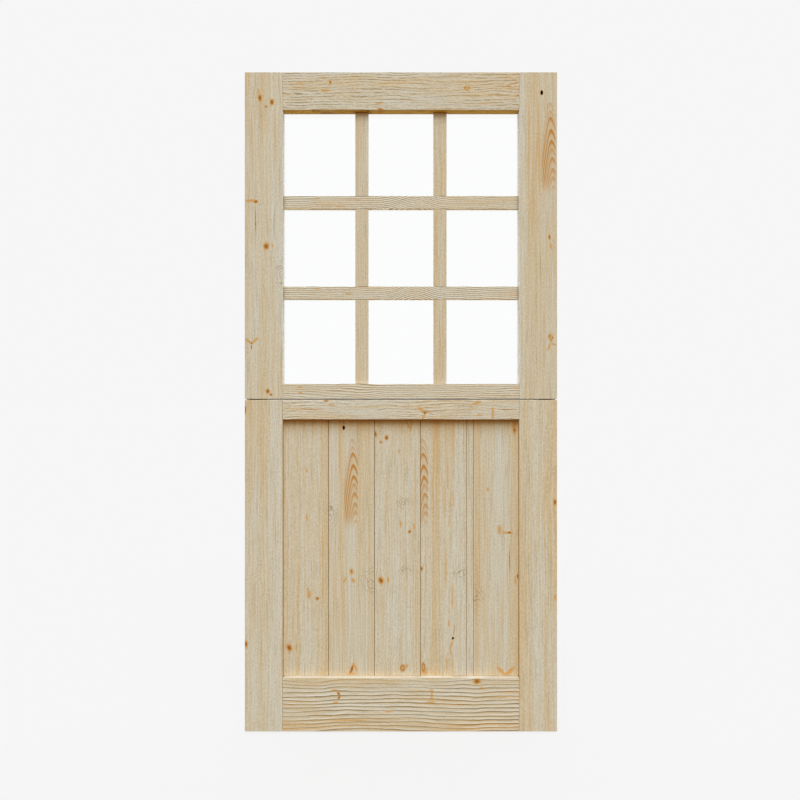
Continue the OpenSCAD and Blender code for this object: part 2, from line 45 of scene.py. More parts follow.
class Graph:
    """A node tree with short calls for the nodes that the materials here are made of."""

    def __init__(self, tree):
        self.tree = tree

    def node(self, kind, **settings):
        made = self.tree.nodes.new("ShaderNode" + kind)
        for key, value in settings.items():
            setattr(made, key, value)
        return made

    def feed(self, socket, value):
        """Links an output to a socket, or sets the socket to a plain value."""
        if isinstance(value, bpy.types.NodeSocket):
            self.tree.links.new(value, socket)
        else:
            socket.default_value = value

    def math(self, operation, *values):
        made = self.node("Math", operation=operation)
        for socket, value in zip(made.inputs, values):
            self.feed(socket, value)
        return made.outputs[0]

    def add(self, first, *others):
        for other in others:
            first = self.math("ADD", first, other)
        return first

    def times(self, first, *others):
        for other in others:
            first = self.math("MULTIPLY", first, other)
        return first

    def absolute(self, value):
        return self.math("ABSOLUTE", value)

    def least(self, first, second):
        return self.math("MINIMUM", first, second)

    def most(self, values):
        largest = values[0]
        for value in values[1:]:
            largest = self.math("MAXIMUM", largest, value)
        return largest

    def length(self, first, second):
        squares = self.add(self.times(first, first), self.times(second, second))
        return self.math("SQRT", squares)

    def bell(self, run, steepness=1.0):
        """1 at a run of zero, less on both sides of it."""
        return self.math("POWER", math.e, self.times(run, run, -steepness))

    def decay(self, distance, reach):
        """1 at no distance, fading with the reach."""
        return self.math("POWER", math.e, self.times(distance, -1 / reach))

    def rise(self, value, start, end):
        """0 before start and 1 after end, with a soft step between. It falls where end is the smaller."""
        rising = start < end
        made = self.node("MapRange", interpolation_type="SMOOTHSTEP")
        self.feed(made.inputs["Value"], value)
        made.inputs["From Min"].default_value = min(start, end)
        made.inputs["From Max"].default_value = max(start, end)
        made.inputs["To Min"].default_value = 0.0 if rising else 1.0
        made.inputs["To Max"].default_value = 1.0 if rising else 0.0
        return made.outputs["Result"]

    def vector(self, x, y, z):
        made = self.node("CombineXYZ")
        for socket, value in zip(made.inputs, (x, y, z)):
            self.feed(socket, value)
        return made.outputs[0]

    def noise(self, x, y, z, detail=2.0, roughness=0.5, output="Fac"):
        """Cloudy noise round 0.5, one cell per unit of its coordinates."""
        made = self.node("TexNoise")
        made.inputs["Scale"].default_value = 1.0
        made.inputs["Detail"].default_value = detail
        made.inputs["Roughness"].default_value = roughness
        self.feed(made.inputs["Vector"], self.vector(x, y, z))
        return made.outputs[output]

    def swing(self, *place, detail=2.0, roughness=0.5):
        """The same noise round zero."""
        return self.add(self.noise(*place, detail, roughness), -0.5)

    def mix(self, share, first, second, blend="MIX"):
        made = self.node("Mix", data_type="RGBA", blend_type=blend)
        self.feed(made.inputs["Factor"], share)
        self.feed(made.inputs["A"], first)
        self.feed(made.inputs["B"], second)
        return made.outputs["Result"]

    def ramp(self, value, stops):
        """A colour ramp from a list of (place, colour)."""
        made = self.node("ValToRGB")
        elements = made.color_ramp.elements
        while len(elements) < len(stops):
            elements.new(1.0)
        for element, (place, shade) in zip(elements, stops):
            element.position = place
            element.color = shade
        self.feed(made.inputs["Fac"], value)
        return made.outputs["Color"]

    def split(self, output):
        """The three parts of a texture coordinate: Object is in metres and moves with the body."""
        source = self.node("TexCoord")
        parts = self.node("SeparateXYZ")
        self.feed(parts.inputs[0], source.outputs[output])
        return tuple(parts.outputs)


class Material(Graph):
    """A Principled material and the graph that paints it."""

    def __init__(self, name):
        self.made = bpy.data.materials.new(name)
        self.made.use_nodes = True
        super().__init__(self.made.node_tree)
        self.shader = self.tree.nodes["Principled BSDF"]

    def give(self, name, value):
        """Sets an input of the shader."""
        self.feed(self.shader.inputs[name], value)

    def cloud(self, cells, detail, roughness=0.5):
        """Noise fixed to the body, with a number of cells per metre along each axis."""
        place = [self.times(part, count) for part, count in zip(self.split("Object"), cells)]
        return self.noise(*place, detail, roughness)

    def bump(self, height, depth):
        """Raises a height of 0 to 1 by a depth in metres."""
        made = self.node("Bump")
        made.inputs["Distance"].default_value = depth
        self.feed(made.inputs["Height"], height)
        self.give("Normal", made.outputs["Normal"])


# Pine, from pale summer wood to the bark in a dead knot, then its relief, the painted shade in its joints,
# the painted highlight on its upper faces and inner sides, and its cut ends
PALE = colour(208, 203, 187)
BEIGE = colour(205, 194, 170)
TAN = colour(204, 182, 144)
HONEY = colour(200, 166, 113)
AMBER = colour(194, 149, 86)
RESIN = colour(202, 147, 64)
LATE = colour(184, 124, 46)
KNOT = colour(146, 84, 28)
BARK = colour(30, 8, 0)
PORE = colour(172, 156, 126)
RIDGE = colour(228, 218, 198)
VALLEY = colour(158, 136, 98)
# Painted shade for joints and corners
CREVICE_SHADE = colour(124, 80, 16)
# Painted highlight for upper faces and inner sides
PAINTED_HIGHLIGHT = colour(236, 230, 216)
END_PALE = colour(236, 220, 190)
END_DARK = colour(204, 172, 126)
TONES = [(0.0, PALE), (0.3, BEIGE), (0.55, TAN), (0.8, HONEY), (1.0, AMBER)]

# Tints that are multiplied in, all painted light and shade: painted shade on lower faces, painted shadow on
# wood under a rail, painted light on wood that takes light from the wood next to it, and painted reflected
# light under the glazing bars; the white one leaves a lower face as it is
UNDERSIDE_SHADE = colour(252, 205, 72)
SUNLIT = colour(255, 255, 255)
SHADE = (0.80, 0.57, 0.26, 1.0)
GLOW = (1.16, 1.06, 0.93, 1.0)
REFLECTED = (1.40, 1.30, 1.05, 1.0)
BOUNCE = (1.45, 1.35, 1.15, 1.0)


@dataclass
class Blot:
    """A soft spot on the face: its middle and half sizes in millimetres, its clockwise lean in degrees,
    the shares of resin, heart and bark in it, how far its halo reaches in half sizes, and its rings."""

    x: float
    z: float
    half_x: float
    half_z: float
    lean: float = 0.0
    resin: float = 0.0
    halo: float = 1.5
    heart: float = 0.0
    hollow: bool = False
    black: float = 0.0
    rings: int = 0
    bends: bool = False


# The kinds of blot on the face
def resin(*place):
    return Blot(*place, resin=0.78)


def stain(*place):
    return Blot(*place, resin=0.35)


def streak(*place):
    return Blot(*place, resin=0.5)


def knot(*place):
    return Blot(*place, resin=1.0, halo=1.9, heart=0.85, bends=True)


def pin_knot(*place):
    return Blot(*place, resin=0.6, halo=1.7, heart=0.6, bends=True)


def ring_knot(*place):
    return Blot(*place, resin=0.8, halo=1.7, heart=0.5, hollow=True, bends=True)


def dead_knot(*place):
    return Blot(*place, resin=0.8, halo=2.4, heart=1.0, black=1.0, bends=True)


def crack(*place):
    return Blot(*place, resin=0.8, heart=0.8)


def swirl(*place):
    return Blot(*place, rings=4)


@dataclass
class Flame:
    """Growth rings cut to pointed arches: the first tip, and the saw cut that ends them on the right."""

    x: float
    z: float
    cut: float


# The arches below the first tip: how far below, in millimetres, and how strong
FLAME_TIPS = (
    (2, 0.3),
    (26, 0.3),
    (48, 0.7),
    (86, 1.0),
    (121, 0.85),
    (147, 0.4),
    (176, 0.6),
    (210, 0.5),
    (235, 0.4),
    (264, 0.45),
)
# The shape of a flame, in millimetres but for its lean and gain, and how it falls to the left and right
FLAME_LENGTH = 320
FLAME_LEAN = 0.045
FLAME_EDGE = 2
FLAME_FADE = 18
FLAME_GAIN = 1.7
FLAME_RIPPLE = 10.0
FLAME_LEFT, FLAME_ROUND, FLAME_STEEP = 38, 12, 6.5
FLAME_RIGHT, FLAME_RIGHT_FALL = 16, 38
# Where the arches end below, and where their warm ground begins and ends
FLAME_END = (300, 240)
WARM_START, WARM_END = (20, 60), (290, 220)
# Where the legs begin, and where all of it ends on the left, as shares of the reach to the left
LEG_START, LEFT_END = (0.15, 0.5), (1.0, 0.8)
WARM_SHARE, LEG_SHARE, ARCH_SHARE = 0.45, 0.25, 0.95


@dataclass
class Band:
    """A strip along the grain with its own warmth, between two places across it in millimetres."""

    start: float
    end: float
    warmth: float


# Half the width of a band's soft edges, in millimetres
BAND_BLUR = 2


@dataclass
class Hump:
    """A place where the grain of a cross piece rises over a knot inside, in millimetres."""

    x: float
    lift: float
    half: float


@dataclass
class Timber:
    """How one stick was sawn: the axis of its grain, its colour, how much the grain stands out, the painted
    light and shade on its edges, the pieces that cast painted shade on it and those that give it painted
    light, how much painted shade its joints take, and the marks on its face. The pitch of its rings, their
    relief, the waver of the grain and the reach of the shade are in millimetres."""

    along: int = Z_AXIS
    warmth: float = 0.0
    lines: float = 0.1
    broken: float = 0.0
    ridges: float = 0.7
    uneven: float = 3.0
    pitch: float = 9.0
    relief: float = 0.25
    waver: float = 8.0
    length: float = 1.0
    # Colour painted on the inner sides: painted shade in honey here, a pale painted highlight where a piece
    # gives it
    edge: tuple = HONEY
    # Tint multiplied into the lower faces: painted shade here, painted reflected light under the glazing
    # bars
    underside: tuple = UNDERSIDE_SHADE
    under: str = ""
    shade: float = 15.0
    over: str = ""
    beside: str = ""
    # How much painted shade the joints and corners take
    dirt: float = 0.85
    marks: tuple = ()

    def kind(self, kind):
        return [mark for mark in self.marks if isinstance(mark, kind)]


def upright(**settings):
    return Timber(**settings)


def board(**settings):
    # Boards take the full painted shade in their joints, painted shadow under the meeting rail and painted
    # light above the bottom rail
    usual = {"under": "lower_meeting_rail", "over": "lower_bottom_rail", "dirt": 1.0}
    return Timber(**{**usual, **settings})


def crossways(**settings):
    usual = {"along": X_AXIS, "lines": 0.6, "broken": 0.95, "relief": 0.5, "length": 0.4, "waver": 14.0}
    return Timber(**{**usual, **settings})


@dataclass
class Grain:
    """One scale of the grain: noise cells per metre along it and across it, and the noise's character.
    A fixed one stays the same on sticks with short grain."""

    long: float
    fine: float
    detail: float = 2.0
    roughness: float = 0.5
    fixed: bool = False


# The scales of the grain, from the slow bends to the rings
DRIFT = Grain(1.3, 4.0)
RIPPLE = Grain(9.0, 16.0)
BANDS = Grain(1.0, 20)
STREAKS = Grain(3.5, 130, 3.0, 0.6)
FIBRES = Grain(12.0, 330)
DASHES = Grain(150, 330, 1.0, fixed=True)
PORES = Grain(9.0, 230, 1.0)
RING_DRIFT = Grain(1.8, 24)
RING_BREAKS = Grain(18, 110)
RING_PATCHES = Grain(1.6, 14)

# How far the noise moves the grain, and how a knot pushes it aside
SEED_STEP = 7.31
FULL_SWING = 2
RIPPLE_HEIGHT = 4 * MM
KNOT_PUSH, KNOT_FADE, KNOT_RUN = 0.8, 0.35, 0.12

# Ragged edges of the blots, and the crumpled rings of a swirl
RAGGED, RAGGED_CELLS = 5 * MM, 260
CRUMPLE, CRUMPLE_CELLS, CRUMPLE_DETAIL = 4.0, 40, 3.0
SWIRL_RISE, SWIRL_FALL = (0.45, 0.8), (1.0, 0.85)
SWIRL_NEAR, SWIRL_WHOLE = (1.0, 0.4), (-0.2, 0.0)

# Where a blot's parts begin and end, in half sizes from its middle
RESIN_FULL = 0.5
BLACK_EDGE = (1.5, 1.0)
HEART_SHARE, HEART_FULL = 0.6, 0.3
HOLLOW_EDGE, HOLLOW_MIDDLE = (1.3, 0.9), (0.3, 0.75)

# Levels of the noise between which a layer fades in
PORE_LEVELS = (0.1, 0.22)
DARK_LEVELS, LIGHT_LEVELS = (0.0, 0.25), (0.0, -0.25)
LATE_LEVELS = (0.0, 0.25)
BREAK_LEVELS = (-0.14, 0.1)
PATCH_LEVELS, PATCH_BASE = (-0.2, 0.16), 0.3

# The dark line and the pale ridge of a ring, as parts of the way from one ring to the next
LINE_RISE, LINE_FALL = (0.45, 0.9), (1.0, 0.92)
RIDGE_RISE, RIDGE_FALL = (0.0, 0.12), (0.55, 0.15)

# How much each scale of the grain counts, and how much each layer covers
TONE_BANDS, TONE_STREAKS, TONE_MIDDLE = 0.85, 1.1, 0.42
FINE_FIBRES, FINE_DASHES = 0.6, 1.1
PORE_SHARE, DARK_SHARE, LIGHT_SHARE = 0.5, 0.42, 0.28
SWIRL_SHARE = 0.8

# The pith of the end grain lies outside the stick
PITH_ACROSS, PITH_DEEP = 0.11, 0.16
END_RINGS_PER_METRE = 260
END_RING_LEVELS = (0.3, 0.9)

# Which way a face has to look to count as a cut end or an edge
END_FACING = (0.7, 0.9)
EDGE_FACING = (0.5, 0.9)
BELOW_FACING = (-0.5, -0.9)
INNER_SIDE = (400 * MM, 390 * MM)
# Shares of the painted highlight on upper faces and of the painted light and shade on inner sides
PAINTED_HIGHLIGHT_SHARE, SIDE_SHADING_SHARE = 0.33, 0.9

# Reach of the painted shadow under a rail, of the painted light from other wood, and of the painted shade in
# the joints
SHADE_GAIN, SHADE_COATS = 1.3, 2
GLOW_REACH = 12 * MM
BOUNCE_REACH = 5 * MM
CREVICE_SHADE_REACH, CREVICE_SHADE_SAMPLES = 3 * MM, 4
CREVICE_SHADE_LEVELS = (0.8, 0.3)

# Shine and relief
ROUGHNESS, ROUGHNESS_STREAKS = 0.64, 0.3
SHINE = 0.12
RELIEF_STREAKS, RELIEF_FINE, RELIEF_LINES, RELIEF_PORES = 1.2, -0.3, -1.5, -0.25


class Pine(Material):
    """One stick of brushed pine, painted in layers from the grain up to the painted shade in its joints."""

    def __init__(self, name, seed, timber):
        super().__init__(name)
        self.timber = timber
        self.x, self.y, self.z = self.split("Object")
        self.facing = self.split("Normal")
        self.stands = timber.along == Z_AXIS
        self.along, self.across = (self.z, self.x) if self.stands else (self.x, self.z)
        self.shift = seed * SEED_STEP
        self.deep = self.add(self.y, self.shift)
        self.short = 1 / timber.length
        self.bend_grain()
        self.paint_grain()
        self.paint_rings()
        for flame in timber.kind(Flame):
            self.paint_flame(flame)
        self.paint_blots()
        self.paint_ends()
        self.paint_edge_light_and_shade()
        self.paint_nearby_light_and_shade()
        self.paint_dirt()
        self.finish()

    def cover(self, share, paint, blend="MIX"):
        """Lays a colour over the surface, or multiplies it in."""
        self.surface = self.mix(share, self.surface, paint, blend)

    def wave(self, scale):
        """Slow noise that bends the grain."""
        long = self.times(self.along, scale.long * self.short)
        return self.swing(long, self.times(self.across, scale.fine), self.shift)

    def grain(self, scale):
        """Noise that is longer than it is wide and follows the bent grain."""
        cells = scale.long if scale.fixed else scale.long * self.short
        long = self.times(self.along, cells)
        fine = self.times(self.bent, scale.fine)
        deep = self.times(self.deep, scale.fine)
        return self.swing(long, fine, deep, detail=scale.detail, roughness=scale.roughness)

    def bend_grain(self):
        """The grain drifts from side to side, rises over humps and bends round each knot."""
        drift = self.times(self.wave(DRIFT), self.timber.waver * FULL_SWING * MM)
        self.ripple = self.wave(RIPPLE)
        self.bent = self.add(self.across, drift, self.times(self.ripple, RIPPLE_HEIGHT))
        for hump in self.timber.kind(Hump):
            run = self.times(self.add(self.along, -hump.x * MM), 1 / (hump.half * MM))
            self.bent = self.add(self.bent, self.times(self.bell(run), -hump.lift * MM))
        for blot in self.timber.kind(Blot):
            if blot.bends:
                self.bend_round(blot)

    def bend_round(self, blot):
        """Pushes the grain aside where a knot grew through it."""
        start, middle, tall, half = blot.z, blot.x, blot.half_z, blot.half_x
        if not self.stands:
            start, middle, tall, half = middle, start, half, tall
        offset = self.times(self.add(self.across, -middle * MM), 1 / (half * MM))
        run = self.times(self.add(self.along, -start * MM), 1 / (tall * MM))
        swell = self.math("DIVIDE", offset, self.add(self.times(offset, offset, KNOT_FADE), 1.0))
        push = self.times(swell, self.bell(run, KNOT_RUN), -KNOT_PUSH * half * MM)
        self.bent = self.add(self.bent, push)

    def paint_grain(self):
        """Bands, streaks, fibres and pores, each longer than it is wide."""
        self.bands = self.grain(BANDS)
        self.streaks = self.grain(STREAKS)
        self.pores = self.rise(self.grain(PORES), *PORE_LEVELS)
        fibres = self.times(self.grain(FIBRES), FINE_FIBRES)
        self.fine = self.add(fibres, self.times(self.grain(DASHES), FINE_DASHES))
        tone = self.add(
            self.times(self.bands, TONE_BANDS),
            self.times(self.streaks, TONE_STREAKS),
            self.timber.warmth + TONE_MIDDLE,
        )
        for band in self.timber.kind(Band):
            inside = self.times(
                self.rise(self.bent, (band.start - BAND_BLUR) * MM, (band.start + BAND_BLUR) * MM),
                self.rise(self.bent, (band.end + BAND_BLUR) * MM, (band.end - BAND_BLUR) * MM),
            )
            tone = self.add(tone, self.times(inside, band.warmth))
        self.surface = self.ramp(tone, TONES)
        self.cover(self.times(self.pores, PORE_SHARE), PORE)
        self.cover(self.times(self.rise(self.fine, *DARK_LEVELS), DARK_SHARE), PORE)
        self.cover(self.times(self.rise(self.fine, *LIGHT_LEVELS), LIGHT_SHARE), RIDGE)

    def paint_rings(self):
        """Ring lines in patches: a pale ridge that ends at a dark line."""
        timber = self.timber
        steps = self.times(self.bent, 1 / (timber.pitch * MM))
        saw = self.math("FRACT", self.add(steps, self.times(self.grain(RING_DRIFT), timber.uneven)))
        line = self.times(self.rise(saw, *LINE_RISE), self.rise(saw, *LINE_FALL))
        ridge = self.times(self.rise(saw, *RIDGE_RISE), self.rise(saw, *RIDGE_FALL))
        breaks = self.times(self.rise(self.grain(RING_BREAKS), *BREAK_LEVELS), timber.broken)
        patch = self.add(self.rise(self.grain(RING_PATCHES), *PATCH_LEVELS), PATCH_BASE)
        patch = self.times(patch, self.add(breaks, 1 - timber.broken))
        self.lines = self.times(line, patch)
        late = self.mix(self.rise(self.bands, *LATE_LEVELS), VALLEY, AMBER)
        self.cover(self.times(self.lines, timber.lines), late)
        self.cover(self.times(ridge, patch, timber.lines * timber.ridges), RIDGE)

    def paint_flame(self, flame):
        """Nested arches of late wood, sharp above and fading below, on a warm ground with long left legs."""
        drop = self.add(self.times(self.z, -1 / MM), flame.z)
        offset = self.add(self.times(self.x, 1 / MM), -flame.x, self.times(drop, -FLAME_LEAN))
        left = self.most([self.times(offset, -1.0), 0.0])
        right = self.most([self.times(offset, 1 / FLAME_RIGHT), 0.0])
        row = self.add(
            drop,
            self.times(self.add(self.length(left, FLAME_ROUND), -FLAME_ROUND), -FLAME_STEEP),
            self.times(right, right, -FLAME_RIGHT_FALL),
            self.times(self.ripple, FLAME_RIPPLE),
        )
        stops = []
        for place, strength in FLAME_TIPS:
            for shift, share in ((-FLAME_EDGE, 0.0), (FLAME_EDGE, strength), (FLAME_FADE, 0.0)):
                stops.append(((place + shift) / FLAME_LENGTH, (share, share, share, 1.0)))
        arches = self.times(self.ramp(self.times(row, 1 / FLAME_LENGTH), stops), FLAME_GAIN)
        leftward = self.times(left, 1 / FLAME_LEFT)
        inside = self.times(
            self.rise(leftward, *LEFT_END),
            self.rise(self.x, flame.cut * MM, (flame.cut - FLAME_EDGE) * MM),
            self.rise(drop, *FLAME_END),
        )
        ground = self.times(self.rise(row, *WARM_START), self.rise(row, *WARM_END), inside)
        legs = self.times(ground, self.rise(leftward, *LEG_START))
        self.cover(self.times(ground, WARM_SHARE), HONEY)
        self.cover(self.times(legs, LEG_SHARE), AMBER)
        self.cover(self.times(self.least(arches, 1.0), inside, ARCH_SHARE), LATE)

    def ragged_place(self):
        """The place on the face, shaken a little so that the blots get ragged edges."""
        cells = (self.times(self.x, RAGGED_CELLS), self.shift, self.times(self.z, RAGGED_CELLS))
        middle = self.vector(self.add(self.x, -RAGGED / 2), 0.0, self.add(self.z, -RAGGED / 2))
        made = self.node("VectorMath", operation="MULTIPLY_ADD")
        self.feed(made.inputs[0], self.noise(*cells, output="Color"))
        self.feed(made.inputs[1], (RAGGED, 0, RAGGED))
        self.feed(made.inputs[2], middle)
        return made.outputs[0]

    def blot_distance(self, place, blot):
        """How far a place lies from the middle of a blot, 1 at its edge."""
        made = self.node("Mapping", vector_type="TEXTURE")
        self.feed(made.inputs["Vector"], place)
        made.inputs["Location"].default_value = (blot.x * MM, 0, blot.z * MM)
        made.inputs["Rotation"].default_value = (0, math.radians(blot.lean), 0)
        made.inputs["Scale"].default_value = (blot.half_x * MM, 1, blot.half_z * MM)
        distance = self.node("VectorMath", operation="LENGTH")
        self.feed(distance.inputs[0], made.outputs[0])
        return distance.outputs["Value"]

    def heart(self, distance, blot):
        """The dark middle of a knot, or only a ring round it where the knot is hollow."""
        if not blot.hollow:
            return self.times(self.rise(distance, HEART_SHARE * blot.halo, HEART_FULL), blot.heart)
        rim = self.times(self.rise(distance, *HOLLOW_EDGE), blot.heart)
        return self.times(rim, self.rise(distance, *HOLLOW_MIDDLE))

    def swirl_rings(self, distance, blot):
        """Thin rings, crumpled and broken."""
        cells = (self.times(self.x, CRUMPLE_CELLS), self.shift, self.times(self.z, CRUMPLE_CELLS))
        crumpled = self.swing(*cells, detail=CRUMPLE_DETAIL)
        turns = self.add(self.times(distance, blot.rings), self.times(crumpled, CRUMPLE))
        turns = self.math("FRACT", turns)
        thin = self.times(self.rise(turns, *SWIRL_RISE), self.rise(turns, *SWIRL_FALL))
        return self.times(thin, self.rise(distance, *SWIRL_NEAR), self.rise(crumpled, *SWIRL_WHOLE))

    def paint_blots(self):
        """Swirls, then the resin, hearts and bark of all blots."""
        place = self.ragged_place()
        swirls, bodies, hearts, blacks = [0.0], [0.0], [0.0], [0.0]
        for blot in self.timber.kind(Blot):
            distance = self.blot_distance(place, blot)
            if blot.rings:
                swirls.append(self.swirl_rings(distance, blot))
            if blot.resin:
                bodies.append(self.times(self.rise(distance, blot.halo, RESIN_FULL), blot.resin))
            if blot.heart:
                hearts.append(self.heart(distance, blot))
            if blot.black:
                blacks.append(self.times(self.rise(distance, *BLACK_EDGE), blot.black))
        self.bark = self.most(blacks)
        self.cover(self.times(self.most(swirls), SWIRL_SHARE), VALLEY)
        self.cover(self.most(bodies), RESIN)
        self.cover(self.most(hearts), KNOT)
        self.cover(self.bark, BARK)

    def paint_ends(self):
        """End grain: rings round a pith outside the stick."""
        radius = self.length(self.add(self.across, PITH_ACROSS), self.add(self.y, PITH_DEEP))
        ring = self.math("FRACT", self.times(radius, END_RINGS_PER_METRE))
        cut_end = self.mix(self.rise(ring, *END_RING_LEVELS), END_PALE, END_DARK)
        self.cover(self.rise(self.absolute(self.facing[self.timber.along]), *END_FACING), cut_end)

    def paint_edge_light_and_shade(self):
        """Painted light and shade on the edges: a painted highlight on the upper faces of a cross piece and
        a tint multiplied into its lower faces, which is painted shade, painted reflected light under the
        glazing bars and no change under the head; on the inner sides of an upright, the colour given for it,
        a painted highlight on the upper stiles and glazing bars and painted shade on the other uprights.
        """
        if self.stands:
            sideways = self.rise(self.absolute(self.facing[X_AXIS]), *EDGE_FACING)
            inner = self.rise(self.absolute(self.x), *INNER_SIDE)
            # Painted light and shade on the inner sides, in the colour the piece gives
            self.cover(self.times(sideways, inner, SIDE_SHADING_SHARE), self.timber.edge)
        else:
            upward = self.rise(self.facing[Z_AXIS], *EDGE_FACING)
            # Painted highlight on the upper faces
            self.cover(self.times(upward, PAINTED_HIGHLIGHT_SHARE), PAINTED_HIGHLIGHT)
            # Painted shade multiplied into the lower faces, painted reflected light under the glazing bars
            self.cover(self.rise(self.facing[Z_AXIS], *BELOW_FACING), self.timber.underside, "MULTIPLY")

    def paint_nearby_light_and_shade(self):
        """Painted shadow on wood just below a rail, and painted light on wood just above or beside other
        wood, which is lit by it.
        """
        timber = self.timber
        if timber.under:
            drop = self.add(self.times(self.z, -1.0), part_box(timber.under)[0].z)
            share = self.least(self.times(self.decay(drop, timber.shade * MM), SHADE_GAIN), 1.0)
            for _ in range(SHADE_COATS):
                self.cover(share, SHADE, "MULTIPLY")
        if timber.over:
            climb = self.add(self.z, -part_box(timber.over)[1].z)
            self.cover(self.least(self.decay(climb, GLOW_REACH), 1.0), GLOW, "MULTIPLY")
        if timber.beside:
            sides = [self.absolute(self.add(self.x, -corner.x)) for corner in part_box(timber.beside)]
            self.cover(self.decay(self.least(*sides), BOUNCE_REACH), BOUNCE, "MULTIPLY")

    def paint_dirt(self):
        """Painted shade in the joints and corners, where ambient occlusion finds other wood close by."""
        corner = self.node("AmbientOcclusion", samples=CREVICE_SHADE_SAMPLES)
        corner.inputs["Distance"].default_value = CREVICE_SHADE_REACH
        self.cover(self.times(self.rise(corner.outputs["AO"], *CREVICE_SHADE_LEVELS), self.timber.dirt), CREVICE_SHADE)

    def finish(self):
        """The shine and the relief, and the painted surface as the colour."""
        self.give("Base Color", self.surface)
        self.give("Roughness", self.add(self.times(self.streaks, ROUGHNESS_STREAKS), ROUGHNESS))
        self.give("Specular IOR Level", self.add(self.times(self.bark, -SHINE), SHINE))
        height = self.add(
            self.times(self.streaks, RELIEF_STREAKS),
            self.times(self.fine, RELIEF_FINE),
            self.times(self.lines, RELIEF_LINES * self.timber.lines),
            self.times(self.pores, RELIEF_PORES),
        )
        self.bump(height, self.timber.relief * MM)


